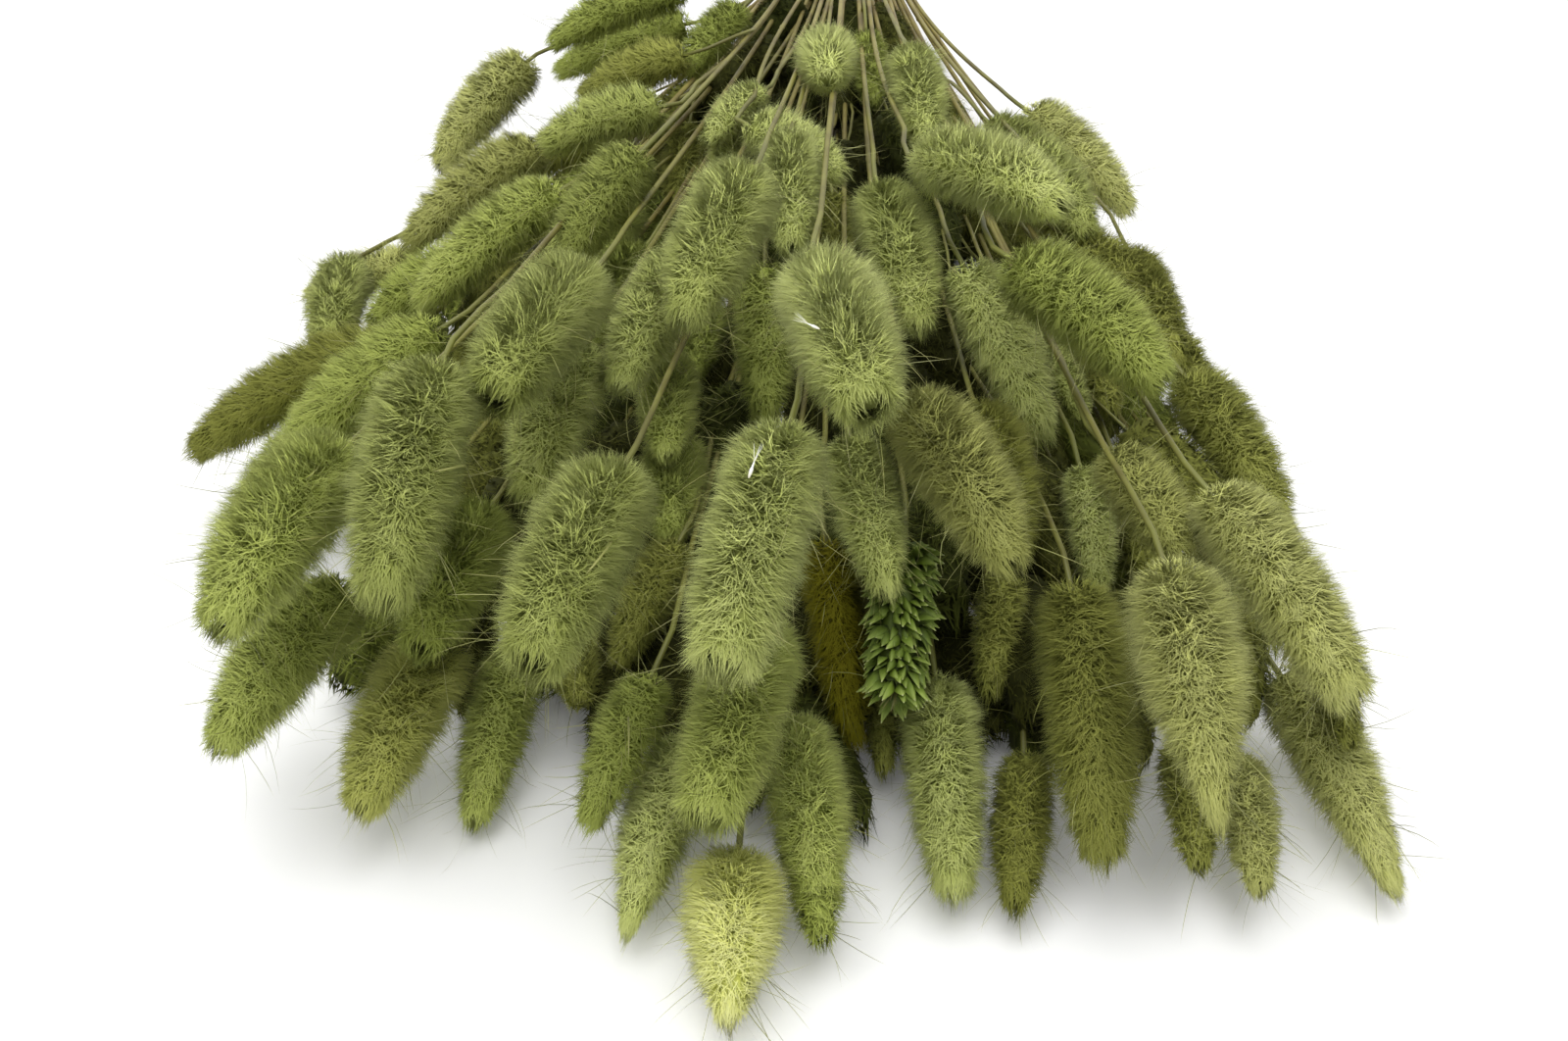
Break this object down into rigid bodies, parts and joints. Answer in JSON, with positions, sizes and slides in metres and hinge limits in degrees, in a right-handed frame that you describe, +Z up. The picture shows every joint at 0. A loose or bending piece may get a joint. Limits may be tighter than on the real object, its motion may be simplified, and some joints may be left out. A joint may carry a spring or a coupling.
{
  "type": "dried bunny tail grass bunch",
  "caption": "Bunch of dried green bunny tail grass lying on its side, its soft furry oval heads fanned out in a low heap and its straw stems drawn together by an elastic tie",
  "frame": {"origin": "middle of the bounding box's bottom face, on the surface that the bunch lies on", "axes": "+Z up from the surface; +Y along the stems from the heads to their cut ends; +X to the right when looking from the heads along the stems"},
  "size_m": [0.265, 0.6361, 0.1106],
  "materials": {
    "down_sage": "dense silky down, pale sage at the hair tips, olive where the tufts part, on a straw-olive stem",
    "down_green": "dense silky down, leaf green, darker at the roots, on a straw-olive stem",
    "down_olive": "dense silky down, dull olive with brownish tips, on a straw-olive stem",
    "down_khaki": "dense silky down, khaki with pale tips, on a straw-olive stem",
    "down_lime": "dense silky down, yellow-green and brightest at the head's tip",
    "down_brown": "dense silky down dried to a golden brown",
    "bare_bracts": "pointed papery bracts, fresh green with pale tips, in overlapping rows",
    "elastic": "plain natural rubber, matt"
  },
  "bodies": {
    "root": {"bunny_tail_01": "down_green", "bunny_tail_02": "down_olive", "bunny_tail_03": "down_green", "bunny_tail_04": "down_sage", "bunny_tail_05": "down_lime", "bunny_tail_06": "down_green", "bunny_tail_07": "down_sage", "bunny_tail_08": "down_olive", "bunny_tail_09": "down_olive", "bunny_tail_10": "down_khaki", "bunny_tail_11": "down_khaki", "bunny_tail_12": "down_green", "bunny_tail_13": "down_green", "bunny_tail_14": "down_green", "bunny_tail_15": "down_brown", "bunny_tail_16": "down_khaki", "bunny_tail_17": "down_olive", "bunny_tail_18": "down_green", "bunny_tail_19": "down_sage", "bunny_tail_20": "down_sage", "bunny_tail_21": "down_sage", "bunny_tail_22": "down_sage", "bunny_tail_23": "down_khaki", "bunny_tail_24": "down_khaki", "bunny_tail_25": "down_sage", "bunny_tail_26": "down_sage", "bunny_tail_27": "down_green", "bunny_tail_28": "down_olive", "bunny_tail_29": "down_sage", "bunny_tail_30": "down_green", "bunny_tail_31": "down_green", "bunny_tail_32": "down_sage", "bunny_tail_33": "down_sage", "bunny_tail_34": "down_green", "bunny_tail_35": "down_olive", "bunny_tail_36": "down_sage", "bunny_tail_37": "down_khaki", "bunny_tail_38": "down_green", "bunny_tail_39": "down_olive", "bunny_tail_40": "down_sage", "bunny_tail_41": "down_sage", "bunny_tail_42": "down_sage", "bunny_tail_43": "down_green", "bunny_tail_44": "down_sage", "bunny_tail_45": "down_khaki", "bunny_tail_46": "down_sage", "bunny_tail_47": "down_khaki", "bunny_tail_48": "down_sage", "bunny_tail_49": "down_sage", "bunny_tail_50": "down_khaki", "bunny_tail_51": "down_sage", "bunny_tail_52": "down_sage", "bunny_tail_53": "down_sage", "bunny_tail_54": "down_sage", "bunny_tail_55": "down_khaki", "bunny_tail_56": "down_green", "bunny_tail_57": "down_sage", "bunny_tail_58": "down_sage", "bare_spike": "bare_bracts", "elastic_tie": "elastic"}
  },
  "joints": []
}
